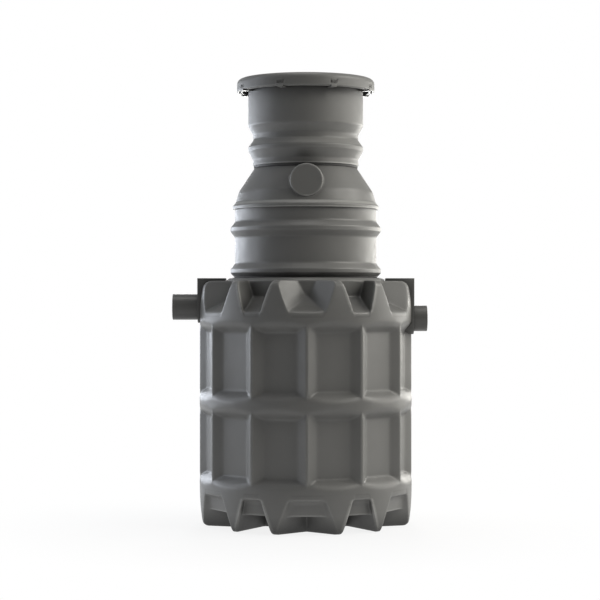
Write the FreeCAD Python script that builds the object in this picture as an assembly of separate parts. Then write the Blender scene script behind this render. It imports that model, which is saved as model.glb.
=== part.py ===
"""Oil separator for setting into the ground: a ribbed round tank with a stepped access shaft.

The moulded tank stands on twelve feet and carries the same teeth round its crown. Twelve
upright ribs and three belts frame two rows of sunk panels. A shaft in two steps rises from
the crown to a clipped lid. The inlet pipe enters on the left and the outlet leaves, lower,
on the right.

Millimetres, +Z up. The origin is on the tank's axis at the ground, the front is -Y, and an
azimuth counts in degrees from the front towards +X. Moulded walls are an outer form less the
same form drawn one wall smaller, so that the inside follows every rib, foot and groove.
"""
import FreeCAD, Part
import math
import os

from FreeCAD import Vector

os.makedirs("parts", exist_ok=True)

# Tank, from the ground up: feet, belt, panels, belt, panels, belt, teeth
TANK_RADIUS = 455.0
TANK_WALL = 9.0
RIB_COUNT = 12
PAIR_COUNT = 6
FOOT_HEIGHT = 138.0
FOOT_BELT_WIDTH = 50.0
LOWER_PANEL_LENGTH = 317.0
MIDDLE_BELT_WIDTH = 38.0
UPPER_PANEL_LENGTH = 319.0
CROWN_BELT_WIDTH = 50.0
TOOTH_HEIGHT = 126.0

# Sunk panels between the ribs
PANEL_DEPTH = 38.0
RIB_NOSE_WIDTH = 11.0
RIB_FLANK_ANGLE = 60.0
PANEL_END_ANGLE = 45.0

# Teeth and feet, cut free by wide V gaps and by narrow slots
TOOTH_LEAN = 17.0
TOOTH_ROUNDING = 25.0
FOOT_LEAN = 10.0
FOOT_ROUNDING = 19.0
LEAN_CHORDS = 3
SLOT_HALF_WIDTH = 42.0
SLOT_DRAFT = 17.5
FOOT_SLOT_DEPTH = 255.0
GAP_HALF_WIDTH = 78.0
GAP_PLAN_ANGLE = 49.0
GAP_DRAFT = 19.5
GAP_SILL_START = -4.0
GAP_SILL_RISE = 69.0
GAP_SILL_DEPTH = 34.0
GAP_FLOOR_RISE = 78.0

# Collar round the access opening
COLLAR_RISE = 16.0
COLLAR_MARGIN = 3.0
COLLAR_SLOPE = 29.0
COLLAR_SIDE = 8.0
COLLAR_EDGE = 5.0
NECK_LEDGE = 10.0

# Lower shaft, with a bead half way and one at its foot
SHAFT_WALL = 10.0
SHAFT_RADIUS = 303.0
SHAFT_LENGTH = 309.0
SHAFT_FOOT_FLARE = 6.0
SHAFT_SEAL_THICKNESS = 3.0
FOOT_BEAD_RISE = 23.0
MIDDLE_BEAD_RISE = 201.0
BEAD_DEPTH = 20.0
BEAD_FLAT = 8.0
BEAD_SLOPE = 26.0
BEAD_ROUNDING = 14.0

# Cone that steps the shaft in, with a blind boss for a side pipe
CONE_WALL = 9.0
CONE_LIP_WALL = 11.0
CONE_LIP_OVERLAP = 22.0
CONE_LIP_DEPTH = 14.0
CONE_BASE_INSET = 3.0
CONE_SHOULDER_INSET = 15.0
CONE_SHOULDER_RISE = 53.0
CONE_TOP_INSET = 6.0
CONE_RISE = 157.0
CONE_SPIGOT_LENGTH = 80.0
CONE_LIP_ROUNDING = 4.0
CONE_BASE_ROUNDING = 8.0
CONE_SHOULDER_ROUNDING = 40.0
BOSS_RADIUS = 69.5
BOSS_RISE = 89.0
BOSS_ROUNDING = 7.0

# Upper riser, with a bead between two grooves and a flange under the lid
RISER_WALL = 9.0
RISER_RADIUS = 246.5
RISER_LENGTH = 350.0
RISER_GROOVE_DEPTH = 21.5
RISER_BEAD_RISE = 72.0
RISER_BEAD_FLAT = 8.0
RISER_BEAD_FOOT = 47.0
RISER_SLOPE = 38.0
RISER_SHOULDER_RISE = 170.0
RISER_FLANGE_REACH = 34.5
RISER_FLANGE_THICKNESS = 9.0
RISER_RIM_DEPTH = 34.0
RISER_FOOT_ROUNDING = 12.0
RISER_CREST_ROUNDING = 7.0
RISER_GROOVE_ROUNDING = 14.0
RISER_FLANGE_ROUNDING = 6.0
RISER_RIM_ROUNDING = 4.0
RISER_MOUTH_ROUNDING = 3.0
RISER_SEAL_THICKNESS = 9.0
SEAL_INSET = 2.0

# Lid and its clips
LID_OVERHANG = 14.0
LID_ROUNDING = 22.0
LID_THICKNESS = 9.0
LID_SKIRT_DEPTH = 42.0
GASKET_THICKNESS = 13.0
GASKET_INSET = 6.0
CLIP_COUNT = 8
CLIP_FIRST_AZIMUTH = 23.0
CLIP_WIDTH = 26.0
CLIP_THICKNESS = 9.0
CLIP_STAND_OFF = 5.0
CLIP_TOP_DROP = 23.0
CLIP_HOOK_DROP = 11.0
CLIP_BITE = 6.0
CLIP_TIP_GAP = 5.0
CLIP_TIP_ROUNDING = 3.0
CLIP_TOE_ROUNDING = 6.0
CLIP_HEEL_ROUNDING = 10.0
NOTCH_HEIGHT = 12.0
NOTCH_SIDE_GAP = 6.0

# Pipes and the pads that they pass through
PIPE_RADIUS = 55.0
PIPE_WALL = 5.0
PIPE_SHOULDER = 1.0
PIPE_SHOULDER_GAP = 3.0
INLET_DROP = 111.0
OUTLET_DROP = 49.0
INLET_LENGTH = 108.0
OUTLET_LENGTH = 58.0
PIPE_INNER_LENGTH = 125.0
PAD_STAND_OFF = 8.0
PAD_HALF_WIDTH = 68.0
PAD_RISE = 12.0

FIT = 0.3
ROUNDING_CHORD = 16.0
LEAST_ROUNDING = 3.0

INLET_AZIMUTH = -90.0
OUTLET_AZIMUTH = 90.0
AXIS = Vector(0, 0, 1)
ORIGIN = Vector(0, 0, 0)
RIB_STEP = 360.0 / RIB_COUNT
PAIR_STEP = 360.0 / PAIR_COUNT

# Heights above the ground
FOOT_BELT_TOP = FOOT_HEIGHT + FOOT_BELT_WIDTH
MIDDLE_BELT_BOTTOM = FOOT_BELT_TOP + LOWER_PANEL_LENGTH
MIDDLE_BELT_TOP = MIDDLE_BELT_BOTTOM + MIDDLE_BELT_WIDTH
CROWN_BELT_BOTTOM = MIDDLE_BELT_TOP + UPPER_PANEL_LENGTH
CROWN_BELT_TOP = CROWN_BELT_BOTTOM + CROWN_BELT_WIDTH
CROWN_HEIGHT = CROWN_BELT_TOP + TOOTH_HEIGHT
CROWN_SPLIT = (CROWN_BELT_TOP + CROWN_BELT_BOTTOM) / 2
FOOT_SPLIT = (FOOT_BELT_TOP + FOOT_HEIGHT) / 2
COLLAR_TOP = CROWN_HEIGHT + COLLAR_RISE
SHAFT_FOOT = COLLAR_TOP + SHAFT_SEAL_THICKNESS
SHAFT_TOP = SHAFT_FOOT + SHAFT_LENGTH
CONE_LIP_FOOT = SHAFT_TOP - CONE_LIP_OVERLAP
CONE_TOP = SHAFT_TOP + CONE_RISE
BOSS_HEIGHT = SHAFT_TOP + BOSS_RISE
RISER_FOOT = CONE_TOP + RISER_SEAL_THICKNESS
RISER_BEAD_HEIGHT = RISER_FOOT + RISER_BEAD_RISE
RISER_SHOULDER_HEIGHT = RISER_FOOT + RISER_SHOULDER_RISE
RISER_TOP = RISER_FOOT + RISER_LENGTH
LID_UNDERSIDE = RISER_TOP + GASKET_THICKNESS
LID_TOP = LID_UNDERSIDE + LID_THICKNESS
LID_SKIRT = LID_TOP - LID_SKIRT_DEPTH
INLET_HEIGHT = CROWN_HEIGHT - INLET_DROP
OUTLET_HEIGHT = INLET_HEIGHT - OUTLET_DROP

# Distances from the axis
SHAFT_FOOT_RADIUS = SHAFT_RADIUS + SHAFT_FOOT_FLARE
NECK_BORE = SHAFT_RADIUS - SHAFT_WALL - NECK_LEDGE
COLLAR_SHOULDER = SHAFT_FOOT_RADIUS + COLLAR_MARGIN
COLLAR_FOOT = COLLAR_SHOULDER + COLLAR_SLOPE
FOOT_SLOT_END = TANK_RADIUS - FOOT_SLOT_DEPTH
RISER_GROOVE_RADIUS = RISER_RADIUS - RISER_GROOVE_DEPTH
SPIGOT_RADIUS = RISER_GROOVE_RADIUS - RISER_WALL - FIT
RISER_FLANGE_RADIUS = RISER_RADIUS + RISER_FLANGE_REACH
LID_RADIUS = RISER_FLANGE_RADIUS + LID_OVERHANG
PAD_FACE = TANK_RADIUS + PAD_STAND_OFF
PIPE_INNER_END = TANK_RADIUS - PIPE_INNER_LENGTH
NECKED_RADIUS = PIPE_RADIUS - PIPE_SHOULDER
PAD_BORE = NECKED_RADIUS + FIT
CLIP_AZIMUTHS = [CLIP_FIRST_AZIMUTH + 360.0 / CLIP_COUNT * n for n in range(CLIP_COUNT)]


def rounded_outline(corners):
    """A closed face in the XZ plane through corners of (x, z, rounding), its roundings in chords."""
    points = [Vector(x, 0, z) for x, z, rounding in corners]
    path = []
    for index, corner in enumerate(points):
        rounding = corners[index][2]
        if rounding < LEAST_ROUNDING:
            path.append(corner)
            continue
        before = (points[index - 1] - corner).normalize()
        after = (points[(index + 1) % len(points)] - corner).normalize()
        half = before.getAngle(after) / 2
        centre = corner + (before + after).normalize() * (rounding / math.sin(half))
        start = corner + before * (rounding / math.tan(half)) - centre
        end = corner + after * (rounding / math.tan(half)) - centre
        turn = math.pi - 2 * half
        count = math.ceil(rounding * turn / ROUNDING_CHORD)
        for step in range(count + 1):
            share = step / count
            path.append(centre + (start * math.sin((1 - share) * turn) + end * math.sin(share * turn))
                        * (1 / math.sin(turn)))
    return Part.Face(Part.makePolygon(path + path[:1]))


def turned(corners, sweep=360.0):
    """The outline turned about the axis, starting at +X."""
    return rounded_outline(corners).revolve(ORIGIN, AXIS, sweep)


def placed(shape, azimuth):
    """A copy of a shape drawn on +X, swung to its azimuth."""
    copy = shape.copy()
    copy.rotate(ORIGIN, AXIS, azimuth - 90)
    return copy


def ring(inner, outer, bottom, top):
    """A plain round ring or tube."""
    return turned([(inner, bottom, 0), (outer, bottom, 0), (outer, top, 0), (inner, top, 0)])


def inside_of(outer_corners, wall):
    """The inner side of a turned wall, from its top end back to its bottom end."""
    return [(x - wall, z, 0) for x, z, rounding in reversed(outer_corners)]


def prism(corners, direction):
    """A solid drawn from flat corners and pushed along a direction."""
    return Part.Face(Part.makePolygon(corners + corners[:1])).extrude(direction)


def drafted(low_corners, high_corners):
    """A solid with flat faces between two like outlines."""
    count = len(low_corners)
    outlines = [low_corners, high_corners]
    for index in range(count):
        following = (index + 1) % count
        outlines.append([low_corners[index], low_corners[following],
                         high_corners[following], high_corners[index]])
    faces = [Part.Face(Part.makePolygon(outline + outline[:1])) for outline in outlines]
    solid = Part.Solid(Part.Shell(faces))
    return solid if solid.Volume > 0 else solid.reversed()


def panel_hollow(bottom, top, skin):
    """One sunk panel between two ribs, its faces set back by the skin."""
    flank = math.tan(math.radians(RIB_FLANK_ANGLE))
    end = math.tan(math.radians(PANEL_END_ANGLE))
    nose = math.radians(RIB_STEP / 2) - RIB_NOSE_WIDTH / 2 / TANK_RADIUS
    nose_depth = TANK_RADIUS * math.cos(nose)
    nose_side = TANK_RADIUS * math.sin(nose)
    floor = TANK_RADIUS - PANEL_DEPTH - skin
    mouth = TANK_RADIUS + PANEL_DEPTH

    def outline(depth):
        side = nose_side + (depth - nose_depth) * flank + skin * math.hypot(1, flank)
        grow = (depth - TANK_RADIUS) * end + skin * math.hypot(1, end)
        low, high = bottom - grow, top + grow
        return [Vector(depth, -side, low), Vector(depth, side, low),
                Vector(depth, side, high), Vector(depth, -side, high)]

    return drafted(outline(floor), outline(mouth))


def sill(end, skin, reach):
    """What lies above the floor of a gap: the floor climbs inwards from the tank's rim."""
    slope = math.hypot(GAP_SILL_RISE, GAP_SILL_DEPTH) / GAP_SILL_DEPTH
    outer = TANK_RADIUS + GAP_SILL_DEPTH
    corners = [(outer, GAP_SILL_START - GAP_SILL_RISE - skin * slope),
               (TANK_RADIUS - GAP_SILL_DEPTH, GAP_SILL_START + GAP_SILL_RISE - skin * slope),
               (end - skin, GAP_FLOOR_RISE - skin),
               (end - skin, reach), (outer, reach)]
    return prism([Vector(x, -TANK_RADIUS, z) for x, z in corners], Vector(0, 2 * TANK_RADIUS, 0))


def slot(end, skin, reach):
    """A narrow slot with level sides, wider towards the tips."""
    slope = math.tan(math.radians(SLOT_DRAFT))
    spread = skin / math.cos(math.radians(SLOT_DRAFT))

    def half(height):
        return SLOT_HALF_WIDTH + slope * height + spread

    low = -GAP_SILL_RISE
    corners = [(-half(low), low), (half(low), low), (half(reach), reach), (-half(reach), reach)]
    length = Vector(TANK_RADIUS + GAP_SILL_DEPTH - end + skin, 0, 0)
    return prism([Vector(end - skin, y, z) for y, z in corners], length)


def wide_gap(skin, reach):
    """A gap with a V plan, its point nearer the axis towards the tips."""
    plan = math.radians(GAP_PLAN_ANGLE)
    rim = math.sqrt(TANK_RADIUS ** 2 - GAP_HALF_WIDTH ** 2)
    point = rim - GAP_HALF_WIDTH / math.tan(plan)
    slope = math.tan(math.radians(GAP_DRAFT)) / math.sin(plan)
    spread = skin / math.cos(math.radians(GAP_DRAFT)) / math.sin(plan)
    outer = TANK_RADIUS + GAP_SILL_DEPTH

    def outline(height):
        apex = point - slope * height - spread
        side = (outer - apex) * math.tan(plan)
        return [Vector(apex, 0, height), Vector(outer, -side, height), Vector(outer, side, height)]

    return drafted(outline(-GAP_SILL_RISE), outline(reach))


def leaning_side(radius, edge, tip, lean, rounding):
    """Corners from the belt's edge to the tips, leaning in more and more towards the axis."""
    corners = []
    for step in range(LEAN_CHORDS + 1):
        share = step / LEAN_CHORDS
        corners.append((radius - lean * share ** 2, edge + (tip - edge) * share, 0))
    return corners[:-1] + [(radius - lean, tip, rounding)]


def gaps(end, skin, tip):
    """All slots and wide gaps of one end of the tank, drawn upwards from the belt's edge."""
    reach = tip + GAP_SILL_DEPTH
    floor = sill(end, skin, reach)
    narrow = slot(end, skin, reach).common(floor)
    wide = wide_gap(skin, reach).common(floor)
    cutters = []
    for number in range(PAIR_COUNT):
        cutters.append(placed(wide, PAIR_STEP * number))
        cutters.append(placed(narrow, PAIR_STEP * (number + 0.5)))
    return cutters


def crown_form(skin):
    """The tank's top as a solid body, drawn smaller by the skin."""
    radius = TANK_RADIUS - skin
    top = CROWN_HEIGHT - skin
    side = leaning_side(radius, CROWN_BELT_TOP, top, TOOTH_LEAN, TOOTH_ROUNDING - skin)
    body = turned([(0, CROWN_SPLIT, 0), (radius, CROWN_SPLIT, 0)] + side + [(0, top, 0)])
    for cutter in gaps(COLLAR_FOOT, skin, TOOTH_HEIGHT):
        cutter.translate(Vector(0, 0, CROWN_BELT_TOP))
        body = body.cut(cutter)
    return body


def foot_form(skin):
    """The tank's bottom as a solid body, drawn smaller by the skin."""
    radius = TANK_RADIUS - skin
    side = leaning_side(radius, FOOT_HEIGHT, skin, FOOT_LEAN, FOOT_ROUNDING - skin)
    body = turned([(0, skin, 0)] + side[::-1] + [(radius, FOOT_SPLIT, 0), (0, FOOT_SPLIT, 0)])
    for cutter in gaps(FOOT_SLOT_END, skin, FOOT_HEIGHT):
        upturned = cutter.mirror(ORIGIN, AXIS)
        upturned.translate(Vector(0, 0, FOOT_HEIGHT))
        body = body.cut(upturned)
    return body


def wall_form(skin):
    """One sixth of the ribbed wall as a solid body, drawn smaller by the skin."""
    height = CROWN_SPLIT - FOOT_SPLIT
    body = Part.makeCylinder(TANK_RADIUS - skin, height, Vector(0, 0, FOOT_SPLIT), AXIS, PAIR_STEP)
    rows = [(FOOT_BELT_TOP, MIDDLE_BELT_BOTTOM), (MIDDLE_BELT_TOP, CROWN_BELT_BOTTOM)]
    for bottom, top in rows:
        hollow = panel_hollow(bottom, top, skin)
        for azimuth in (RIB_STEP / 2, RIB_STEP * 1.5):
            body = body.cut(placed(hollow, azimuth + 90))
    return body


def pipe_passage(height, azimuth):
    """The round hole that a pipe needs through the tank's wall and its pad."""
    start = Vector(PIPE_INNER_END - TANK_WALL, 0, height)
    hole = Part.makeCylinder(PAD_BORE, PAD_FACE, start, Vector(1, 0, 0))
    return placed(hole, azimuth)


def passages():
    """The inlet's and the outlet's holes."""
    return [pipe_passage(INLET_HEIGHT, INLET_AZIMUTH), pipe_passage(OUTLET_HEIGHT, OUTLET_AZIMUTH)]


def tank_crown():
    """The top of the tank: upper belt, twelve teeth, and the collar of the access opening."""
    collar = turned([(0, CROWN_HEIGHT - TANK_WALL, 0), (COLLAR_FOOT, CROWN_HEIGHT - TANK_WALL, 0),
                     (COLLAR_FOOT, CROWN_HEIGHT, 0),
                     (COLLAR_FOOT - COLLAR_SIDE, COLLAR_TOP - COLLAR_EDGE, COLLAR_EDGE),
                     (COLLAR_SHOULDER, COLLAR_TOP, COLLAR_SIDE), (0, COLLAR_TOP, 0)])
    crown = crown_form(0).fuse(collar).cut(crown_form(TANK_WALL))
    bore = Part.makeCylinder(NECK_BORE, COLLAR_TOP, ORIGIN, AXIS)
    return crown.cut([bore] + passages()).removeSplitter()


def tank_base():
    """The bottom of the tank: lower belt and twelve feet."""
    return foot_form(0).cut(foot_form(TANK_WALL)).removeSplitter()


def tank_walls():
    """The ribbed wall in six equal segments, each from rib to rib."""
    segment = wall_form(0).cut(wall_form(TANK_WALL)).removeSplitter()
    walls = {}
    for number in range(PAIR_COUNT):
        wall = placed(segment, PAIR_STEP * number)
        walls["tank_wall_%d" % (number + 1)] = wall.cut(passages())
    return walls


def shaft_seal():
    """The ring between the tank's collar and the lower shaft."""
    return ring(NECK_BORE, SHAFT_FOOT_RADIUS - SEAL_INSET, COLLAR_TOP, SHAFT_FOOT)


def shaft_bead(height):
    """Corners of a rounded bead on the lower shaft, from its lower edge to its upper edge."""
    crest = SHAFT_RADIUS + BEAD_DEPTH
    return [(SHAFT_RADIUS, height - BEAD_FLAT - BEAD_SLOPE, BEAD_ROUNDING),
            (crest, height - BEAD_FLAT, BEAD_ROUNDING / 2),
            (crest, height + BEAD_FLAT, BEAD_ROUNDING / 2),
            (SHAFT_RADIUS, height + BEAD_FLAT + BEAD_SLOPE, BEAD_ROUNDING)]


def lower_shaft():
    """The wide pipe that stands on the tank, flared at its foot."""
    foot_bead = shaft_bead(SHAFT_FOOT + FOOT_BEAD_RISE)
    middle_bead = shaft_bead(SHAFT_FOOT + MIDDLE_BEAD_RISE)
    outer = [(SHAFT_FOOT_RADIUS, SHAFT_FOOT, 0)] + foot_bead[1:] + middle_bead
    outer.append((SHAFT_RADIUS, SHAFT_TOP, 0))
    return turned(outer + inside_of(outer, SHAFT_WALL))


def cone_form(skin):
    """The cone's turned form, drawn smaller by the skin, from the lip to the spigot's end."""
    lip = SHAFT_RADIUS + CONE_LIP_WALL - skin
    spigot = SPIGOT_RADIUS - skin
    spigot_end = CONE_TOP + CONE_SPIGOT_LENGTH
    return turned([(0, CONE_LIP_FOOT, 0), (lip, CONE_LIP_FOOT, 0),
                   (lip, CONE_LIP_FOOT + CONE_LIP_DEPTH, CONE_LIP_ROUNDING),
                   (SHAFT_RADIUS - CONE_BASE_INSET - skin, SHAFT_TOP + CONE_WALL, CONE_BASE_ROUNDING),
                   (SHAFT_RADIUS - CONE_SHOULDER_INSET - skin, SHAFT_TOP + CONE_SHOULDER_RISE,
                    CONE_SHOULDER_ROUNDING),
                   (RISER_GROOVE_RADIUS - CONE_TOP_INSET - skin, CONE_TOP, 0), (spigot, CONE_TOP, 0),
                   (spigot, spigot_end, 0), (0, spigot_end, 0)])


def blind_boss(skin):
    """A closed round stub with its face to the front, level with the shaft's wall."""
    radius = BOSS_RADIUS - skin
    face = SHAFT_RADIUS - skin
    start = Vector(0, 0, BOSS_HEIGHT)
    stub = Part.makeCylinder(radius, face, start, Vector(0, -1, 0))
    rim = [edge for edge in stub.Edges if edge.BoundBox.YMax < -face + 1]
    return stub.makeChamfer(BOSS_ROUNDING, rim) if skin == 0 else stub


def cone_reducer():
    """The cone that steps the shaft in, its lip over the shaft and its spigot in the riser."""
    outside = cone_form(0).fuse(blind_boss(0))
    inside = cone_form(CONE_WALL).fuse(blind_boss(CONE_WALL))
    socket = Part.makeCylinder(SHAFT_RADIUS + FIT, CONE_LIP_OVERLAP, Vector(0, 0, CONE_LIP_FOOT), AXIS)
    return outside.cut([inside, socket]).removeSplitter()


def riser_seal():
    """The ring between the cone and the upper riser, round the cone's spigot."""
    return ring(SPIGOT_RADIUS + FIT, RISER_GROOVE_RADIUS - SEAL_INSET, CONE_TOP, RISER_FOOT)


def upper_riser():
    """The narrow pipe under the lid, with a bead and a flange whose rim the clips grip."""
    groove, flange = RISER_GROOVE_RADIUS, RISER_FLANGE_RADIUS
    rim_inside = flange - RISER_FLANGE_THICKNESS
    rim_foot = RISER_TOP - RISER_RIM_DEPTH
    under = RISER_TOP - RISER_FLANGE_THICKNESS
    wall = [(groove + SEAL_INSET, RISER_FOOT, 0),
            (groove, RISER_BEAD_HEIGHT - RISER_BEAD_FOOT, RISER_FOOT_ROUNDING),
            (RISER_RADIUS, RISER_BEAD_HEIGHT - RISER_BEAD_FLAT, RISER_CREST_ROUNDING),
            (RISER_RADIUS, RISER_BEAD_HEIGHT + RISER_BEAD_FLAT, RISER_CREST_ROUNDING),
            (groove, RISER_BEAD_HEIGHT + RISER_SLOPE, RISER_GROOVE_ROUNDING),
            (groove, RISER_SHOULDER_HEIGHT - RISER_SLOPE, RISER_GROOVE_ROUNDING),
            (RISER_RADIUS, RISER_SHOULDER_HEIGHT, RISER_GROOVE_ROUNDING)]
    rim = [(RISER_RADIUS, under, RISER_RIM_ROUNDING), (rim_inside, under, RISER_RIM_ROUNDING),
           (rim_inside, rim_foot, 0), (flange, rim_foot, 0),
           (flange, RISER_TOP, RISER_FLANGE_ROUNDING),
           (RISER_RADIUS - RISER_WALL, RISER_TOP, RISER_MOUTH_ROUNDING)]
    return turned(wall + rim + inside_of(wall, RISER_WALL))


def lid_gasket():
    """The flat ring between the riser's flange and the lid."""
    return ring(RISER_RADIUS - RISER_WALL + GASKET_INSET, RISER_FLANGE_RADIUS - GASKET_INSET,
                RISER_TOP, LID_UNDERSIDE)


def clip_sweep(width):
    """The angle that a width along the lid's edge takes up."""
    return math.degrees(width / LID_RADIUS)


def lid():
    """A flat lid with a rounded edge, and a notch in its skirt for each clip."""
    skirt_inside = LID_RADIUS - LID_THICKNESS
    body = turned([(0, LID_UNDERSIDE, 0), (skirt_inside, LID_UNDERSIDE, LID_ROUNDING - LID_THICKNESS),
                   (skirt_inside, LID_SKIRT, 0), (LID_RADIUS, LID_SKIRT, 0),
                   (LID_RADIUS, LID_TOP, LID_ROUNDING), (0, LID_TOP, 0)])
    sweep = clip_sweep(CLIP_WIDTH + 2 * NOTCH_SIDE_GAP)
    inside, outside = skirt_inside - CLIP_THICKNESS, LID_RADIUS + CLIP_THICKNESS
    low, high = LID_SKIRT - NOTCH_HEIGHT, LID_SKIRT + NOTCH_HEIGHT
    notch = turned([(inside, low, 0), (outside, low, 0), (outside, high, 0), (inside, high, 0)], sweep)
    return body.cut([placed(notch, azimuth - sweep / 2) for azimuth in CLIP_AZIMUTHS])


def lid_clips():
    """Hooks that hang from the lid's edge and close round the rim of the riser's flange."""
    seat = LID_RADIUS + FIT
    outer = LID_RADIUS + CLIP_STAND_OFF
    leg = outer - CLIP_THICKNESS
    high = LID_TOP - CLIP_TOP_DROP
    step = LID_SKIRT + NOTCH_HEIGHT - FIT
    rim = RISER_TOP - RISER_RIM_DEPTH
    low = rim - CLIP_HOOK_DROP
    hook = RISER_FLANGE_RADIUS - RISER_FLANGE_THICKNESS - FIT
    tip = RISER_RADIUS + CLIP_TIP_GAP
    sweep = clip_sweep(CLIP_WIDTH)
    shape = turned([(seat, high, 0), (seat, step, 0), (leg, step, 0), (leg, rim - FIT, 0),
                    (hook, rim - FIT, 0), (hook, rim + CLIP_BITE, 0),
                    (tip, rim + CLIP_BITE, CLIP_TIP_ROUNDING), (tip, low, CLIP_TOE_ROUNDING),
                    (outer, low, CLIP_HEEL_ROUNDING), (outer, high, 0)], sweep)
    return {"lid_clip_%d" % (number + 1): placed(shape, azimuth - sweep / 2)
            for number, azimuth in enumerate(CLIP_AZIMUTHS)}


def pipe(height, free_length, azimuth):
    """A pipe end that stands out of its pad and, necked to fit the pad, reaches into the tank."""
    bore = PIPE_RADIUS - PIPE_WALL
    shoulder = PAD_FACE + PIPE_SHOULDER_GAP
    end = PAD_FACE + free_length
    tube = turned([(bore, PIPE_INNER_END, 0), (NECKED_RADIUS, PIPE_INNER_END, 0),
                   (NECKED_RADIUS, shoulder, 0), (PIPE_RADIUS, shoulder, 0),
                   (PIPE_RADIUS, end, 0), (bore, end, 0)])
    tube.rotate(ORIGIN, Vector(0, 1, 0), 90)
    tube.translate(Vector(0, 0, height))
    return placed(tube, azimuth)


def pad(height, azimuth, tank):
    """A flat-faced block in the slot over the pipe, round below it, cut to the tank's form."""
    inner = COLLAR_FOOT + FIT
    length = Vector(PAD_FACE - inner, 0, 0)
    top = CROWN_HEIGHT + PAD_RISE
    block = prism([Vector(inner, -PAD_HALF_WIDTH, height), Vector(inner, PAD_HALF_WIDTH, height),
                   Vector(inner, PAD_HALF_WIDTH, top), Vector(inner, -PAD_HALF_WIDTH, top)], length)
    start = Vector(inner, 0, height)
    round_end = Part.makeCylinder(PAD_HALF_WIDTH, PAD_FACE - inner, start, Vector(1, 0, 0))
    body = placed(block.fuse(round_end), azimuth)
    return body.cut([tank, pipe_passage(height, azimuth)]).removeSplitter()


def tank_solid():
    """The whole tank without its hollow, for cutting the pads to its outside."""
    wall = wall_form(0)
    body = crown_form(0)
    for number in range(PAIR_COUNT):
        body = body.fuse(placed(wall, PAIR_STEP * number))
    return body


def main():
    """Make every piece, write its STEP file and print its size."""
    tank = tank_solid()
    pieces = {
        "lid": lid(),
        "lid_gasket": lid_gasket(),
        "upper_riser": upper_riser(),
        "riser_seal": riser_seal(),
        "cone_reducer": cone_reducer(),
        "lower_shaft": lower_shaft(),
        "shaft_seal": shaft_seal(),
        "tank_crown": tank_crown(),
        "tank_base": tank_base(),
        "inlet_pipe": pipe(INLET_HEIGHT, INLET_LENGTH, INLET_AZIMUTH),
        "outlet_pipe": pipe(OUTLET_HEIGHT, OUTLET_LENGTH, OUTLET_AZIMUTH),
        "inlet_pad": pad(INLET_HEIGHT, INLET_AZIMUTH, tank),
        "outlet_pad": pad(OUTLET_HEIGHT, OUTLET_AZIMUTH, tank),
    }
    pieces.update(tank_walls())
    pieces.update(lid_clips())
    for name, shape in pieces.items():
        shape.exportStep("parts/%s.step" % name)
        box = shape.BoundBox
        print("%-14s solids %d valid %s volume %9.0f z %7.1f to %7.1f"
              % (name, len(shape.Solids), shape.isValid(), shape.Volume, box.ZMin, box.ZMax))


main()
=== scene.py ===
"""Oil separator for setting into the ground: the moulded finish of its tank, shaft, lid and pipes.

Metres, +Z up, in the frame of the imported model. The origin is on the tank's axis at the ground
and the front is -Y. An azimuth counts from the front towards +X.
"""

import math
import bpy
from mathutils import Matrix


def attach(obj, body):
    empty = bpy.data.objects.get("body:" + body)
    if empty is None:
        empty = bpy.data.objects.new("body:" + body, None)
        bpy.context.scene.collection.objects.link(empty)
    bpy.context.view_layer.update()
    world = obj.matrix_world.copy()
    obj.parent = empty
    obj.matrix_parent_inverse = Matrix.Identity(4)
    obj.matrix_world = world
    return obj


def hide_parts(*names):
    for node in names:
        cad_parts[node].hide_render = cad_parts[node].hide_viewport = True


bl_info = {
    "name": "Oil separator",
    "version": (1, 0, 0),
    "blender": (4, 5, 0),
    "location": "3D View > Sidebar > Separator",
    "description": "Moulded tank, access shaft, clipped lid and pipe ends of an oil separator",
    "category": "Add Mesh",
}

from collections import namedtuple

import bpy
import numpy as np
from bpy.props import FloatProperty, FloatVectorProperty, PointerProperty

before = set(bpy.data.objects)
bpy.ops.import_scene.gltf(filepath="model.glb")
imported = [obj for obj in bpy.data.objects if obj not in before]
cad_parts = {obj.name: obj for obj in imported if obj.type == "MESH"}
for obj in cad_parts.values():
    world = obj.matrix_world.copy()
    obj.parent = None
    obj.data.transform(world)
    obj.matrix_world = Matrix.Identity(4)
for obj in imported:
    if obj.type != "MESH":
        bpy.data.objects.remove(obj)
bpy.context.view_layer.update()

BODY = "root"
RIB_STEP = math.radians(30)
SECTOR_COUNT = 6

# Play between pieces that fit into each other, and the angle from which an edge is shaded sharp
PLAY = 0.0003
SHARP_ANGLE = math.radians(55)

# Heights on the tank
FOOT_HEIGHT = 0.138
FOOT_SEAM = 0.163
FOOT_BELT_TOP = 0.188
MIDDLE_BELT = (0.505, 0.543)
CROWN_BELT_BOTTOM = 0.862
CROWN_SEAM = 0.887
CROWN_BELT_TOP = 0.912
CROWN_HEIGHT = 1.038

# Teeth and feet
SLOT_HALF_WIDTH = 0.042
SLOT_DRAFT = math.radians(17.5)
GAP_HALF_WIDTH = 0.078
GAP_POINT_ROUNDING = 0.005

# Collar, from its foot over its edge to its shoulder, and neck
COLLAR = ((0.341, 1.038), (0.333, 1.049), (0.312, 1.054))
NECK_BORE = 0.283

# Blind boss on the cone
BOSS_RADIUS = 0.0695
BOSS_HEIGHT = 1.455
BOSS_ROUNDING = 0.007

# Pipes, necked from where they start in the tank to their pad's face
PIPE_RADIUS = 0.055
PIPE_BORE = 0.050
NECKED_RADIUS = 0.054
PIPE_START = 0.330
PAD_FACE = 0.463
NECK_END = PAD_FACE + 0.003
INLET_END = 0.571
OUTLET_END = 0.521
HOLE_REACH = (0.25, 0.52)
INLET_HEIGHT = 0.927
OUTLET_HEIGHT = 0.878

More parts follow.
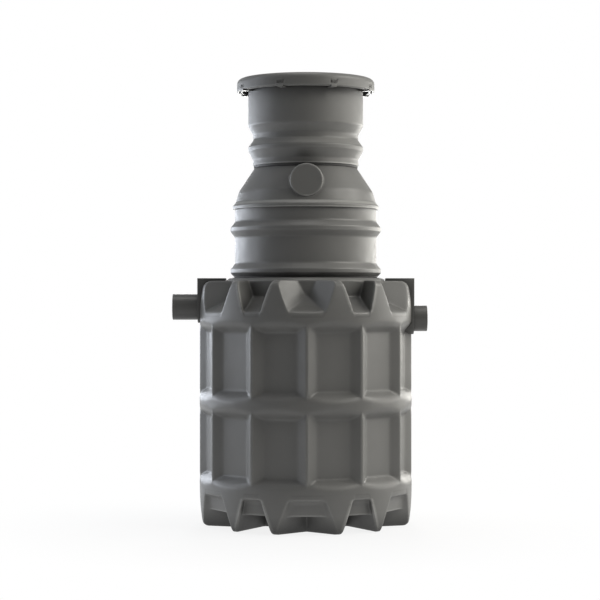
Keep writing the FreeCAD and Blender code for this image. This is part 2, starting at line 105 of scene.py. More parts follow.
# Heights of lid and flange, their wall, and the windows and clips round them
LID_TOP = 1.904
LID_UNDERSIDE = 1.895
LID_STEP = 1.901
SKIRT_FOOT = 1.849
FLANGE_TOP = 1.882
FLANGE_FOOT = 1.848
TRIM_WALL = 0.009
WINDOW_FOOT = 1.8585
WINDOW_TOP = 1.8725
WINDOW_WIDTH = 0.034
NOTCH_FOOT = 1.840
NOTCH_TOP = 1.864
CLIP_PROUD = 0.0008
CLIP_AZIMUTHS = [math.radians(23 + 45 * number) for number in range(8)]


class TankSizes(bpy.types.PropertyGroup):
    """Sizes of the moulded tank."""
    radius: FloatProperty(name="Radius", description="Outer radius of the belts and ribs",
                          default=0.455, unit="LENGTH")
    wall: FloatProperty(name="Wall", description="Thickness of the moulded wall",
                        default=0.009, unit="LENGTH")
    panel_depth: FloatProperty(name="Panel depth", description="How far a panel is sunk",
                               default=0.038, unit="LENGTH")
    rib_nose: FloatProperty(name="Rib nose", description="Width of the flat nose of a rib",
                            default=0.011, unit="LENGTH")
    edge_rounding: FloatProperty(name="Edge rounding", description="Rounding of outer edges",
                                 default=0.004, unit="LENGTH")
    belt_rounding: FloatProperty(name="Belt rounding", description="Rounding of belts at the panels",
                                 default=0.016, unit="LENGTH")
    corner_rounding: FloatProperty(name="Corner rounding", description="Rounding of inner corners",
                                   default=0.006, unit="LENGTH")


class ShaftSizes(bpy.types.PropertyGroup):
    """Sizes of the access shaft and its lid."""
    shaft_radius: FloatProperty(name="Lower shaft", description="Outer radius of the lower shaft",
                                default=0.303, unit="LENGTH")
    riser_radius: FloatProperty(name="Riser", description="Outer radius of the upper riser",
                                default=0.2465, unit="LENGTH")
    lid_radius: FloatProperty(name="Lid", description="Outer radius of the lid",
                              default=0.295, unit="LENGTH")
    clip_width: FloatProperty(name="Clip width", description="Width of one lid clip",
                              default=0.026, unit="LENGTH")


class Finish(bpy.types.PropertyGroup):
    """Colours and surface of the plastics."""
    tank_colour: FloatVectorProperty(name="Tank", description="Colour of tank and shaft",
                                     default=(0.150, 0.149, 0.143), subtype="COLOR", size=3)
    pipe_colour: FloatVectorProperty(name="Pipe", description="Colour of pipes and pads",
                                     default=(0.085, 0.084, 0.080), subtype="COLOR", size=3)
    seal_colour: FloatVectorProperty(name="Seal", description="Colour of the rubber seals",
                                     default=(0.020, 0.020, 0.019), subtype="COLOR", size=3)
    grain_depth: FloatProperty(name="Grain", description="Depth of the moulded grain",
                               default=0.00012, unit="LENGTH")
    wave_depth: FloatProperty(name="Waves", description="Depth of the wall's slow waves",
                              default=0.0012, unit="LENGTH")


class Studio(bpy.types.PropertyGroup):
    """Lamps and room."""
    right_light: FloatProperty(name="Right lamps", description="Strength of the lamps on the right",
                               default=1.0, min=0.0)
    left_light: FloatProperty(name="Left lamps", description="Strength of the lamps on the left",
                              default=1.0, min=0.0)
    middle_light: FloatProperty(name="Middle lamps", description="Strength of the lamps above and behind",
                                default=1.0, min=0.0)
    room_light: FloatProperty(name="Room", description="Strength of the light from all sides",
                              default=0.03)
    floor_light: FloatProperty(name="Floor", description="Light from the floor at the tank's feet",
                               default=0.7, min=0.0, max=1.0)
    mirrored_room: FloatProperty(name="Mirrored room", description="How white reflections show the room",
                                 default=0.48, min=0.0, max=1.0)
    mirrored_floor: FloatProperty(name="Mirrored floor", description="How white reflections show the floor",
                                  default=0.60, min=0.0, max=1.0)


# Light and camera
WARM, COOL, NEUTRAL = (1.0, 0.98, 0.92), (0.86, 0.91, 1.0), (1.0, 1.0, 0.98)
LAMP_AIM = 0.95
Lamp = namedtuple("Lamp", "name side azimuth height distance size watts colour")
LAMPS = (
    Lamp("Right front", "right_light", 60, 35, 4.5, 1.6, 62, WARM),
    Lamp("Right high", "right_light", 90, 35, 4.5, 1.6, 66, WARM),
    Lamp("Right low", "right_light", 90, 5, 4.5, 1.6, 30, WARM),
    Lamp("Right rear", "right_light", 120, 5, 4.5, 1.6, 58, WARM),
    Lamp("Right behind", "right_light", 148, 5, 4.5, 1.6, 40, WARM),
    Lamp("Left low", "left_light", -90, 5, 4.5, 1.6, 28, COOL),
    Lamp("Left high", "left_light", -90, 35, 4.5, 1.6, 24, COOL),
    Lamp("Left rear", "left_light", -120, 5, 4.5, 1.6, 72, COOL),
    Lamp("Left behind", "left_light", -148, 5, 4.5, 1.6, 48, COOL),
    Lamp("Above", "middle_light", 0, 85, 4.0, 2.0, 40, NEUTRAL),
    Lamp("Behind", "middle_light", 180, 5, 4.5, 1.6, 100, NEUTRAL),
)
FLOOR_RADIUS = 30.0
FLOOR_DROP = 0.0005

# Share of its own grey under the tank, distances over which it whitens and its thrown light ends
FLOOR_OWN = 0.15
FLOOR_WHITENS = (0.5, 1.6)
FLOOR_THROWS = (0.6, 1.2)

CAMERA_DISTANCE = 7.843
CAMERA_HEIGHT = 0.957
CAMERA_AZIMUTH = math.radians(-0.65)
CAMERA_LENS = 109.4
CAMERA_SHIFT = -0.0095

# How far the painted highlight reaches from an edge and the painted shade from the walls of a hollow,
# and the openness at which either is full
PAINTED_HIGHLIGHT_REACH = 0.008
PAINTED_SHADE_REACH = 0.080
FULL_HIGHLIGHT_OPENNESS = 0.7
FULL_SHADE_OPENNESS = 0.4

# Noise scales of colour, gloss and surface
CLOUDS, SPECKS, SMEARS, WAVES = 4.0, 260.0, 14.0, 11.0


def soft_max(a, b, k):
    """The greater of two, with a smooth turn where they differ by less than k.

    The greater, plus a quarter of k times the square of (k less the difference) over k.
    """
    near = np.maximum(k - np.abs(a - b), 0) / k
    return np.maximum(a, b) + near * near * k / 4


def soft_min(a, b, k):
    """The smaller of two, with a smooth turn: the soft_max of both taken below zero."""
    return -soft_max(-a, -b, k)


def add_object(name, vertices, faces, nodes):
    """A piece at the origin, shaded smooth, that stands for the given CAD nodes."""
    mesh = bpy.data.meshes.new(name)
    mesh.from_pydata(vertices.tolist(), [], faces)
    mesh.validate()
    mesh.polygons.foreach_set("use_smooth", np.ones(len(mesh.polygons), dtype=bool))
    piece = bpy.data.objects.new(name, mesh)
    bpy.context.scene.collection.objects.link(piece)
    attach(piece, BODY)
    if nodes:
        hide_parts(*nodes)
    return piece


def grid_faces(rows, columns, round_columns=True, round_rows=False):
    """Quads between neighbouring rows and columns of a grid, joined to a ring where asked."""
    row = np.arange(rows if round_rows else rows - 1)
    column = np.arange(columns if round_columns else columns - 1)
    a, b = np.meshgrid(row, column, indexing="ij")
    a_next, b_next = (a + 1) % rows, (b + 1) % columns
    quads = np.stack([a * columns + b, a * columns + b_next,
                      a_next * columns + b_next, a_next * columns + b], axis=-1)
    return quads.reshape(-1, 4).tolist()


def fan_faces(start, columns, centre, turned_over):
    """Triangles from a row of a round grid to one point."""
    a = start + np.arange(columns)
    b = start + (np.arange(columns) + 1) % columns
    ring = (b, a) if turned_over else (a, b)
    return np.stack([ring[0], ring[1], np.full(columns, centre)], axis=-1).tolist()


def around_axis(radius, azimuth, height):
    """Points from distance to the axis, azimuth and height."""
    return np.stack([radius * np.sin(azimuth), -radius * np.cos(azimuth), height], axis=-1)


def rounded(corners, steps=5):
    """An outline through corners of (distance, height, rounding).

    Each corner becomes an arc that touches both its sides, drawn in equal turns, and each side
    gets a point close to either arc so that long sides stay flat in the shading.
    """
    points = np.array([corner[:2] for corner in corners], dtype=float)
    outline = []
    for index, corner in enumerate(points):
        radius = max(corners[index][2], 0.0004)
        back, forth = points[index - 1] - corner, points[(index + 1) % len(points)] - corner
        reach = np.linalg.norm(back), np.linalg.norm(forth)
        back, forth = back / reach[0], forth / reach[1]
        half = math.acos(max(-1.0, min(1.0, float(back @ forth)))) / 2
        if half > math.radians(89.5):
            outline.append(corner)
            continue
        tangent = min(radius / math.tan(half), 0.49 * min(reach))
        radius = tangent * math.tan(half)
        middle = (back + forth) / np.linalg.norm(back + forth)
        centre = corner + middle * radius / math.sin(half)
        start, end = corner + back * tangent - centre, corner + forth * tangent - centre
        turn = math.pi - 2 * half
        shares = np.linspace(0, 1, max(2, round(steps * turn / (math.pi / 2)) + 1))[:, None]
        arc = centre + (start * np.sin((1 - shares) * turn) + end * np.sin(shares * turn)) / math.sin(turn)
        support = min(0.002, 0.3 * radius)
        outline.append(arc[0] + back * min(support, 0.4 * (reach[0] - tangent)))
        outline.extend(arc)
        outline.append(arc[-1] + forth * min(support, 0.4 * (reach[1] - tangent)))
    return np.array(outline)


def turned(outline, columns):
    """Points of an outline of (distance, height) carried once round the axis."""
    azimuth = np.linspace(0, 2 * math.pi, columns, endpoint=False)[None, :]
    return around_axis(outline[:, :1], azimuth, outline[:, 1:] + 0 * azimuth).reshape(-1, 3)


def turned_piece(name, outline, nodes, columns=192):
    """A closed outline carried once round the axis."""
    faces = grid_faces(len(outline), columns, round_rows=True)
    return add_object(name, turned(outline, columns), faces, nodes)


def inside_of(corners, wall):
    """The inner side of a turned wall, from its top end back to its bottom end."""
    return [(x - wall, z, max(rounding - wall, 0.002)) for x, z, rounding in reversed(corners)]


def soften(piece, width, segments, angle):
    """Bevel the edges that are sharper than the angle."""
    bevel = piece.modifiers.new("Edges", "BEVEL")
    bevel.width = width
    bevel.segments = segments
    bevel.limit_method = "ANGLE"
    bevel.angle_limit = math.radians(angle)


def finish_modifiers(piece, sharp=None):
    """Put the shape that a piece's modifiers give into its mesh, sharp from an angle if given."""
    graph = bpy.context.evaluated_depsgraph_get()
    mesh = bpy.data.meshes.new_from_object(piece.evaluated_get(graph))
    piece.modifiers.clear()
    piece.data = mesh
    if sharp:
        mesh.set_sharp_from_angle(angle=sharp)


def thicken(piece, wall):
    """Give a skin its wall, inwards."""
    solid = piece.modifiers.new("Wall", "SOLIDIFY")
    solid.thickness = wall
    solid.offset = -1
    solid.use_rim = True


def cut(piece, cutters):
    """Take the cutters' shapes out of a piece."""
    for cutter in cutters:
        hole = piece.modifiers.new("Cut", "BOOLEAN")
        hole.operation = "DIFFERENCE"
        hole.object = cutter
        hole.solver = "MANIFOLD"
    finish_modifiers(piece, SHARP_ANGLE)
    for cutter in cutters:
        bpy.data.objects.remove(cutter)


def loose_mesh(name, vertices, faces):
    """An object that only cuts others."""
    mesh = bpy.data.meshes.new(name)
    mesh.from_pydata(vertices.tolist(), [], faces)
    mesh.validate()
    cutter = bpy.data.objects.new(name, mesh)
    bpy.context.scene.collection.objects.link(cutter)
    return cutter


def pipe_cutters():
    """Round bars along X where the pipes pass through the tank's wall."""
    columns = 96
    turn = np.linspace(0, 2 * math.pi, columns, endpoint=False)
    radius = NECKED_RADIUS + PLAY
    cutters = []
    for side, height in ((-1, INLET_HEIGHT), (1, OUTLET_HEIGHT)):
        ends = np.array(HOLE_REACH)[:, None] * side
        ring = np.stack([ends + 0 * turn, radius * np.cos(turn) + 0 * ends,
                         height + side * radius * np.sin(turn) + 0 * ends], axis=-1)
        centres = [[end, 0, height] for end in ends[:, 0]]
        faces = [face[::-1] for face in grid_faces(2, columns)]
        faces += fan_faces(0, columns, 2 * columns, False)
        faces += fan_faces(columns, columns, 2 * columns + 1, True)
        cutters.append(loose_mesh("Pipe hole", np.concatenate([ring.reshape(-1, 3), centres]), faces))
    return cutters


def math_node(tree, operation, *values):
    """The result of a Math node whose inputs are numbers or other nodes' outputs."""
    node = tree.nodes.new("ShaderNodeMath")
    node.operation = operation
    for socket, value in zip(node.inputs, values):
        if isinstance(value, (int, float)):
            socket.default_value = value
        else:
            tree.links.new(value, socket)
    return node.outputs["Value"]


def ranged(tree, value, low, high, at_low, at_high, kind="LINEAR"):
    """The result of a Map Range node, whose wanted values may come from other nodes."""
    node = tree.nodes.new("ShaderNodeMapRange")
    node.interpolation_type = kind
    node.inputs["From Min"].default_value = low
    node.inputs["From Max"].default_value = high
    for name, wanted in (("To Min", at_low), ("To Max", at_high)):
        if isinstance(wanted, (int, float)):
            node.inputs[name].default_value = wanted
        else:
            tree.links.new(wanted, node.inputs[name])
    tree.links.new(value, node.inputs["Value"])
    return node.outputs["Result"]


def noise(tree, place, scale, detail, rough=0.5):
    """The value of a Noise Texture node on object coordinates."""
    node = tree.nodes.new("ShaderNodeTexNoise")
    node.inputs["Scale"].default_value = scale
    node.inputs["Detail"].default_value = detail
    node.inputs["Roughness"].default_value = rough
    tree.links.new(place.outputs["Object"], node.inputs["Vector"])
    return node.outputs["Fac"]


def openness(tree, reach, inside):
    """How open the surface lies, from 0 to 1, within reach in front of it or inside the piece."""
    node = tree.nodes.new("ShaderNodeAmbientOcclusion")
    node.inside = inside
    node.samples = 8
    node.inputs["Distance"].default_value = reach
    return node.outputs["AO"]


def from_seam(tree, place):
    """Distance in height from the nearer seam of the tank's wall.

    The seams lie at the same distance from the middle of the wall, so it is the amount of
    (that distance less the amount of (height less the middle)).
    """
    apart = tree.nodes.new("ShaderNodeSeparateXYZ")
    tree.links.new(place.outputs["Object"], apart.inputs[0])
    value = apart.outputs["Z"]
    for middle in ((FOOT_SEAM + CROWN_SEAM) / 2, (CROWN_SEAM - FOOT_SEAM) / 2):
        value = math_node(tree, "ABSOLUTE", math_node(tree, "SUBTRACT", value, middle))
    return value


def bumped(tree, height, depth, below=None):
    """The normal that a Bump node gives, on top of another one's."""
    node = tree.nodes.new("ShaderNodeBump")
    node.inputs["Strength"].default_value = 1.0
    node.inputs["Distance"].default_value = depth
    tree.links.new(height, node.inputs["Height"])
    if below:
        tree.links.new(below, node.inputs["Normal"])
    return node.outputs["Normal"]


Plastic = namedtuple("Plastic", "colour roughness grain_scale grain_depth wave_depth contrast worn dusty")


def material(name, plastic):
    """Moulded plastic: slow clouds and fine specks in its colour, grain and slow waves in its surface.

    The colour is lighter by a painted highlight on edges, save at the seams where two pieces of the
    tank meet, and darker by a painted shade in hollows.
    """
    made = bpy.data.materials.new(name)
    made.use_nodes = True
    tree = made.node_tree
    shader = tree.nodes["Principled BSDF"]
    place = tree.nodes.new("ShaderNodeTexCoord")

    def around(value, middle, width):
        """A noise value spread over the width on both sides of the middle."""
        return ranged(tree, value, 0.3, 0.7, middle - width, middle + width)

    clouds = around(noise(tree, place, CLOUDS, 3.0), 1, plastic.contrast)
    specks = around(noise(tree, place, SPECKS, 2.0), 1, plastic.contrast / 2)
    tone = math_node(tree, "MULTIPLY", clouds, specks)
    # Painted highlight: edges are lighter where little of the inside is open near them, in place of light
    # caught on rounded edges and rib noses
    if plastic.worn:
        lighter = ranged(tree, from_seam(tree, place), PAINTED_HIGHLIGHT_REACH, 1.5 * PAINTED_HIGHLIGHT_REACH, 1.0, 1 + plastic.worn)
        edges = ranged(tree, openness(tree, PAINTED_HIGHLIGHT_REACH, True), FULL_HIGHLIGHT_OPENNESS, 1.0, lighter, 1.0)
        tone = math_node(tree, "MULTIPLY", tone, edges)
    # Painted shade: hollows are darker where little is open in front of the surface, in place of shade in
    # slots, gaps and inner corners
    if plastic.dusty:
        darker = 1 - plastic.dusty
        hollows = ranged(tree, openness(tree, PAINTED_SHADE_REACH, False), FULL_SHADE_OPENNESS, 1.0, darker, 1.0)
        tone = math_node(tree, "MULTIPLY", tone, hollows)
    tint = tree.nodes.new("ShaderNodeVectorMath")
    tint.operation = "SCALE"
    tint.inputs[0].default_value = plastic.colour
    tree.links.new(tone, tint.inputs["Scale"])
    tree.links.new(tint.outputs["Vector"], shader.inputs["Base Color"])

    gloss = around(noise(tree, place, SMEARS, 4.0, 0.6), plastic.roughness, 0.06)
    tree.links.new(gloss, shader.inputs["Roughness"])
    waves = bumped(tree, noise(tree, place, WAVES, 1.0), plastic.wave_depth)
    grain = bumped(tree, noise(tree, place, plastic.grain_scale, 3.0, 0.6), plastic.grain_depth, waves)
    tree.links.new(grain, shader.inputs["Normal"])
    return made


def finish_material(kind):
    """The material of that kind, made once."""
    finish = bpy.context.scene.separator_finish
    if kind in bpy.data.materials:
        return bpy.data.materials[kind]
    grey, dark, black = finish.tank_colour, finish.pipe_colour, finish.seal_colour
    grain, waves = finish.grain_depth, finish.wave_depth
    # The last two values of each kind are the painted highlight on edges and the painted shade in hollows
    kinds = {
        "Moulded tank grey": Plastic(grey, 0.44, 700.0, grain, waves, 0.05, 1.1, 0.70),
        "Moulded lid grey": Plastic(grey, 0.46, 420.0, 2 * grain, 0.0004, 0.06, 0.3, 0.6),
        "Clip grey": Plastic(grey, 0.42, 900.0, 0.00008, 0.0002, 0.05, 0.2, 0.3),
        "Dark pipe": Plastic(dark, 0.40, 900.0, 0.00006, 0.0003, 0.04, 0.2, 0.3),
        "Dark pad": Plastic(dark, 0.55, 500.0, 0.00015, 0.0005, 0.06, 0.2, 0.3),
        "Rubber seal": Plastic(black, 0.62, 900.0, 0.00015, 0.0002, 0.10, 0.0, 0.0),
    }
    return material(kind, kinds[kind])


def dress(piece, kind):
    """Give a piece that material and no other."""
    piece.data.materials.clear()
    piece.data.materials.append(finish_material(kind))


def end_field(x, y, rise, end, sizes):
    """How far a point lies outside one end of the tank, below zero inside it.

    x is across and y outwards from the middle of a V gap, and rise is the height from the belt's
    edge towards the tips. The body ends at the radius, less the lean times the square of the
    share of the rise, and at the plane of the tips. A gap is the smallest of the distances to its
    sides, its floor and its end. The field is the greater of body and gaps, each joined to the
    next by a soft turn.
    """
    edge, corner = sizes.edge_rounding, sizes.corner_rounding
    distance = np.hypot(x, y)
    share = np.clip(rise / end.tip, 0, 1)
    upright = math.cos(math.atan(end.lean / end.tip))
    leaning = (distance - sizes.radius + end.lean * share ** 2) * (1 + (upright - 1) * share)
    body = soft_max(leaning, rise - end.tip, end.rounding)

    def gap(side, out, floor):
        bottom = soft_max(above_floor(out, rise, floor, sizes), body, end.lip_rounding)
        return soft_min(soft_min(side, bottom, corner), out - end.slot_end, corner)

    side = (y - gap_apex(rise, end, sizes)) * math.tan(end.gap_plan) - np.hypot(x, GAP_POINT_ROUNDING)
    wide = gap(side * math.cos(end.gap_plan) * math.cos(end.gap_draft), y, end.gap_floor)
    sine, cosine = math.sin(RIB_STEP), math.cos(RIB_STEP)
    out, across = y * cosine + x * sine, np.abs(x * cosine - y * sine)
    narrow = gap((slot_half(rise) - across) * math.cos(SLOT_DRAFT), out, end.slot_floor)
    return soft_max(body, np.maximum(wide, narrow), edge)


def above_floor(out, rise, floor, sizes):
    """Distance above the three planes of a gap's floor, which runs inwards through four points.

    The first two planes meet in a hollow, so the smaller distance counts, and the third starts
    over an edge, so the greater one does.
    """
    planes = []
    for (far, low), (near, high) in zip(floor, floor[1:]):
        slope = (high - low) / (far - near)
        planes.append((rise - low - (far - out) * slope) / math.hypot(1, slope))
    first, second, third = planes
    return soft_max(soft_min(first, second, sizes.corner_rounding), third, sizes.edge_rounding)


def gap_apex(rise, end, sizes):
    """Distance from the axis to the V gap's point, which moves inwards as the rise grows."""
    point = math.sqrt(sizes.radius ** 2 - GAP_HALF_WIDTH ** 2) - GAP_HALF_WIDTH / math.tan(end.gap_plan)
    return point - rise * math.tan(end.gap_draft) / math.sin(end.gap_plan)


def slot_half(rise):
    """Half the width of a slot at that rise."""
    return SLOT_HALF_WIDTH + rise * math.tan(SLOT_DRAFT)


def collar_field(distance, rise):
    """The raised collar: the greatest of its top, its dished side, its edge and its upright foot."""
    height = rise + CROWN_BELT_TOP
    (foot, foot_z), (edge, edge_z), (shoulder, shoulder_z) = COLLAR
    outer = ((distance - foot) * (edge_z - foot_z) + (height - foot_z) * (foot - edge))
    outer = outer / math.hypot(edge_z - foot_z, foot - edge)
    dished = ((distance - shoulder) * (shoulder_z - edge_z) + (height - shoulder_z) * (edge - shoulder))
    dished = dished / math.hypot(shoulder_z - edge_z, edge - shoulder)
    side = soft_max(np.maximum(outer, distance - foot), dished, 0.005)
    return soft_max(side, height - shoulder_z, 0.006)


def crown_field(end, sizes):
    """The field of the crown: its end and its collar, whichever reaches further, softly joined."""
    def field(x, y, rise):
        collar = collar_field(np.hypot(x, y), rise)
        return soft_min(end_field(x, y, rise, end, sizes), collar, 0.003)

    return field


def settle(x, y, rise, field, rounds=16):
    """Slide the points of a grid down a field's slope until they lie where it is zero.

    Where faces fold together the slope is small, and its square counts as the least allowed.
    """
    step, least = 0.0001, 0.3
    for _ in range(rounds):
        value = field(x, y, rise)
        slope_x = (field(x + step, y, rise) - field(x - step, y, rise)) / (2 * step)
        slope_y = (field(x, y + step, rise) - field(x, y - step, rise)) / (2 * step)
        slope_z = (field(x, y, rise + step) - field(x, y, rise - step)) / (2 * step)
        pull = value / np.maximum(slope_x ** 2 + slope_y ** 2 + slope_z ** 2, least)
        x, y, rise = x - pull * slope_x, y - pull * slope_y, rise - pull * slope_z
    return x, y, rise


def crowded(count, start, end):
    """Shares from 0 to 1 that lie closer together at the start, the end or both.

    For both ends it is the share to a power, over the sum of it and of what is left to that power.
    """
    share = np.linspace(0, 1, count)
    if start and end:
        return share ** 1.8 / (share ** 1.8 + (1 - share) ** 1.8)
    if start:
        return share ** 1.5
    if end:
        return 1 - (1 - share) ** 1.5
    return share


# Columns of half a sector: back of the gap, its side, the tooth's rim, the slot's side, its end
BACK, SIDE, RIM, FLANK, END = 9, 12, 9, 13, 9

# Degrees at which they start on the belt, and the rises between which they move to the outline
BELT_AZIMUTHS = (0.0, 8.0, 12.6, 21.8, 26.2, 30.0)
ON_BELT, ON_OUTLINE = -0.006, 0.028


def legs(points, shares):
    """Points along straight legs between corners, each leg with its own shares."""
    parts = [points[:, number, None] + (points[:, number + 1] - points[:, number])[:, None] * share[:, None]
             for number, share in enumerate(shares)]
    return np.concatenate(parts, axis=1)


def end_outlines(rise, inset, end, sizes):
    """Level outlines of one half sector, from the middle of a V gap to the middle of a slot.

    Each row runs along the gap's back and side, the tooth's rim, the slot's side and its end, with
    as many columns on each for every row. The rim leans in with the rise and by the inset, and
    the gaps go in as far as their floors have come at that rise. Below the gaps' mouths the
    columns spread evenly round the belt, and they move over to the outline while the gaps deepen.
    """
    def reach(floor):
        points = np.array(floor)
        return np.maximum(np.interp(rise, points[:, 1], points[:, 0]), end.slot_end)

    rim = sizes.radius - end.lean * np.clip(rise / end.tip, 0, 1) ** 2 - inset
    spread = math.tan(end.gap_plan)
    apex = gap_apex(rise, end, sizes)
    root = np.sqrt(rim ** 2 * (1 + spread ** 2) - (spread * apex) ** 2)
    gap_y = (spread ** 2 * apex + root) / (1 + spread ** 2)
    gap_x = (gap_y - apex) * spread
    back = np.clip(reach(end.gap_floor), apex + GAP_POINT_ROUNDING / spread, gap_y - 0.0005)
    gap = np.stack([np.stack([0 * back, back], -1), np.stack([(back - apex) * spread, back], -1),
                    np.stack([gap_x, gap_y], -1)], axis=1)
    gap_row = legs(gap, [crowded(BACK, False, False)[:-1], crowded(SIDE, True, True)])

    half = slot_half(rise)
    slot_out = np.sqrt(rim ** 2 - half ** 2)
    slot_back = np.minimum(reach(end.slot_floor), slot_out - 0.0005)
    sine, cosine = math.sin(RIB_STEP), math.cos(RIB_STEP)
    out, across = np.array([sine, cosine]), np.array([-cosine, sine])
    slot = np.stack([slot_out[:, None] * out + half[:, None] * across,
                     slot_back[:, None] * out + half[:, None] * across,
                     slot_back[:, None] * out], axis=1)
    slot_row = legs(slot, [crowded(FLANK, True, True)[:-1], crowded(END, True, False)])

    start, stop = np.arctan2(gap_x, gap_y), np.arctan2(slot[:, 0, 0], slot[:, 0, 1])
    azimuth = start[:, None] + (stop - start)[:, None] * crowded(RIM + 2, True, True)[1:-1]
    tooth = np.stack([rim[:, None] * np.sin(azimuth), rim[:, None] * np.cos(azimuth)], axis=-1)
    outline = np.concatenate([gap_row, tooth, slot_row], axis=1)

    counts = (BACK - 1, SIDE - 1, RIM + 1, FLANK - 1, END - 1)
    places = np.cumsum((0,) + counts)
    belt = np.radians(np.interp(np.arange(outline.shape[1]), places, BELT_AZIMUTHS))
    belt = sizes.radius * np.stack([np.sin(belt), np.cos(belt)], axis=-1)
    share = np.clip((rise - ON_BELT) / (ON_OUTLINE - ON_BELT), 0, 1)
    share = (share * share * (3 - 2 * share))[:, None, None]
    return belt + (outline - belt) * share


def deck_rows(x, y, end, sizes, shares, rings):
    """Rows across the plane of the tips, from the last outline inwards.

    A place is a share of the way from the slot's side to the gap's side at one distance from the
    axis. Each column goes from its own place to one of evenly spread places, fastest at first,
    while its distance falls to the first ring. The slot's end, and the gap's back where there is
    one, run straight to the axis. From the first ring on all columns do. Where there is no back,
    the gap's side draws in to its middle over the closing distance.
    """
    closing = 0.07
    spread, apex = math.tan(end.gap_plan), gap_apex(end.tip, end, sizes)
    half = slot_half(end.tip)
    start, azimuth = np.hypot(x, y), RIB_STEP - np.arctan2(x, y)
    number = np.arange(len(start))
    on_end = number >= len(start) - END
    on_back = (number < BACK) & (end.slot_end > apex)
    moving = ~(on_end | on_back)
    slot_corner = math.hypot(end.slot_end, half)
    gap_corner = start[BACK - 1]

    def slot_side(distance):
        return np.arcsin(half / np.maximum(distance, slot_corner))

    def gap_side(distance):
        reach = np.maximum(distance, gap_corner)
        root = np.sqrt(np.maximum(reach ** 2 * (1 + spread ** 2) - (spread * apex) ** 2, 0))
        out = (spread ** 2 * apex + root) / (1 + spread ** 2)
        side = RIB_STEP - np.arctan2((out - apex) * spread, out)
        if end.slot_end > apex:
            return side
        return side + (RIB_STEP - side) * np.clip((gap_corner - distance) / closing, 0, 1)

    place = (azimuth - slot_side(start)) / (gap_side(start) - slot_side(start))
    order = np.cumsum(moving)
    target = 1 - (order - (0 if end.slot_end > apex else 1)) / (moving.sum() + 1)
    distance = start + (rings[0] - start) * shares[:, None]
    moved = place + (target - place) * shares[:, None] ** 0.45
    swung = slot_side(distance) + (gap_side(distance) - slot_side(distance)) * moved
    swung = np.where(moving, swung, azimuth)
    swung[:, 0] = RIB_STEP
    swung = np.concatenate([swung, swung[-1] + 0 * rings[1:, None]])
    distance = np.concatenate([distance, rings[1:, None] + 0 * start])
    return distance * np.sin(RIB_STEP - swung), distance * np.cos(RIB_STEP - swung)


def end_surface(end, sizes, field):
    """One half sector of a tank end as a grid settled onto its field.

    The rows climb from the seam to the tips, through the belt, the gaps' floors and their walls,
    and then cross the plane of the tips towards the axis. On the turn at the tips a row lies the
    rounding times the square of (1 less its share) below them, and the rounding times the square
    of its share inside the rim.
    """
    turn = np.linspace(0, 1, 11)
    rise = np.concatenate([end.rows, end.tip - end.rounding * (1 - turn) ** 2])
    inset = np.concatenate([0 * end.rows, end.rounding * turn ** 2])
    rows = end_outlines(rise, inset, end, sizes)
    deck_x, deck_y = deck_rows(rows[-1, :, 0], rows[-1, :, 1], end, sizes, end.deck, end.rings)
    x, y = np.concatenate([rows[:, :, 0], deck_x]), np.concatenate([rows[:, :, 1], deck_y])
    height = np.concatenate([rise[:, None] + 0 * rows[:, :, 0], end.tip + 0 * deck_x])
    if end.collar:
        (foot, foot_z), (edge, edge_z), (shoulder, shoulder_z) = COLLAR
        deck = np.interp(np.hypot(deck_x, deck_y), [shoulder, edge, foot], [shoulder_z, edge_z, foot_z])
        height[len(rise):] = deck - CROWN_BELT_TOP
    x, y, height = settle(x, y, height, field)
    x[:, 0] = 0
    return x, y, height


def full_ring(halves):
    """Twelve half sectors round the axis, every second one mirrored, from one grid a sector."""
    distances, azimuths, heights = [], [], []
    for sector, (x, y, height) in enumerate(halves):
        distance, azimuth = np.hypot(x, y), np.arctan2(x, y)
        azimuth[:, -1] = RIB_STEP
        azimuth[:, 0] = 0.0
        base = 2 * RIB_STEP * sector
        distances += [distance[:, :-1], distance[:, :0:-1]]
        azimuths += [base + azimuth[:, :-1], base + 2 * RIB_STEP - azimuth[:, :0:-1]]
        heights += [height[:, :-1], height[:, :0:-1]]
    distance, azimuth, height = [np.concatenate(part, 1) for part in (distances, azimuths, heights)]
    return around_axis(distance, azimuth, height)


# An end of the tank. Rises count from the belt's edge. Floors are (distance, rise) inwards from the
# mouth, and rows, deck and rings say where the grid's rows lie: rises, shares and distances.
TankEnd = namedtuple("TankEnd", "tip lean rounding lip_rounding gap_plan gap_draft gap_floor slot_floor "
                                "slot_end collar rows deck rings")

CROWN = TankEnd(
    tip=CROWN_HEIGHT - CROWN_BELT_TOP, lean=0.017, rounding=0.029, lip_rounding=0.014,
    gap_plan=math.radians(45), gap_draft=math.radians(20.9),
    gap_floor=((0.455, -0.007), (0.400, 0.020), (0.341, 0.062), (0.300, 0.080)),
    slot_floor=((0.455, -0.007), (0.400, 0.020), (0.341, 0.060), (0.300, 0.080)),
    slot_end=0.341, collar=True,
    rows=np.array([
        -25, -21, -17.5, -14.5, -12, -10, -8, -6, -4, -2, 0, 2.5, 5, 8, 11.5, 15, 19, 23, 27.5,
        32, 37, 42, 47, 52, 56, 59, 61.5, 64, 66, 68, 70, 72, 74, 76, 77.5, 79.5, 84, 90]) / 1000,
    deck=np.array([0.1, 0.22, 0.35, 0.48, 0.61, 0.73, 0.83, 0.91, 0.96, 1.0]),
    rings=np.array([0.340, 0.337, 0.3345, 0.332, 0.329, 0.325, 0.320, 0.316, 0.313, 0.311,
                    0.308, 0.300, 0.291, NECK_BORE]))
PAD_CROWN = CROWN._replace(
    slot_floor=((0.455, -0.004), (0.4380, 0.0305), (0.421, 0.065), (0.341, 0.078)))
FEET_FLOOR = ((0.455, -0.003), (0.432, 0.003), (0.421, 0.064), (0.200, 0.078))
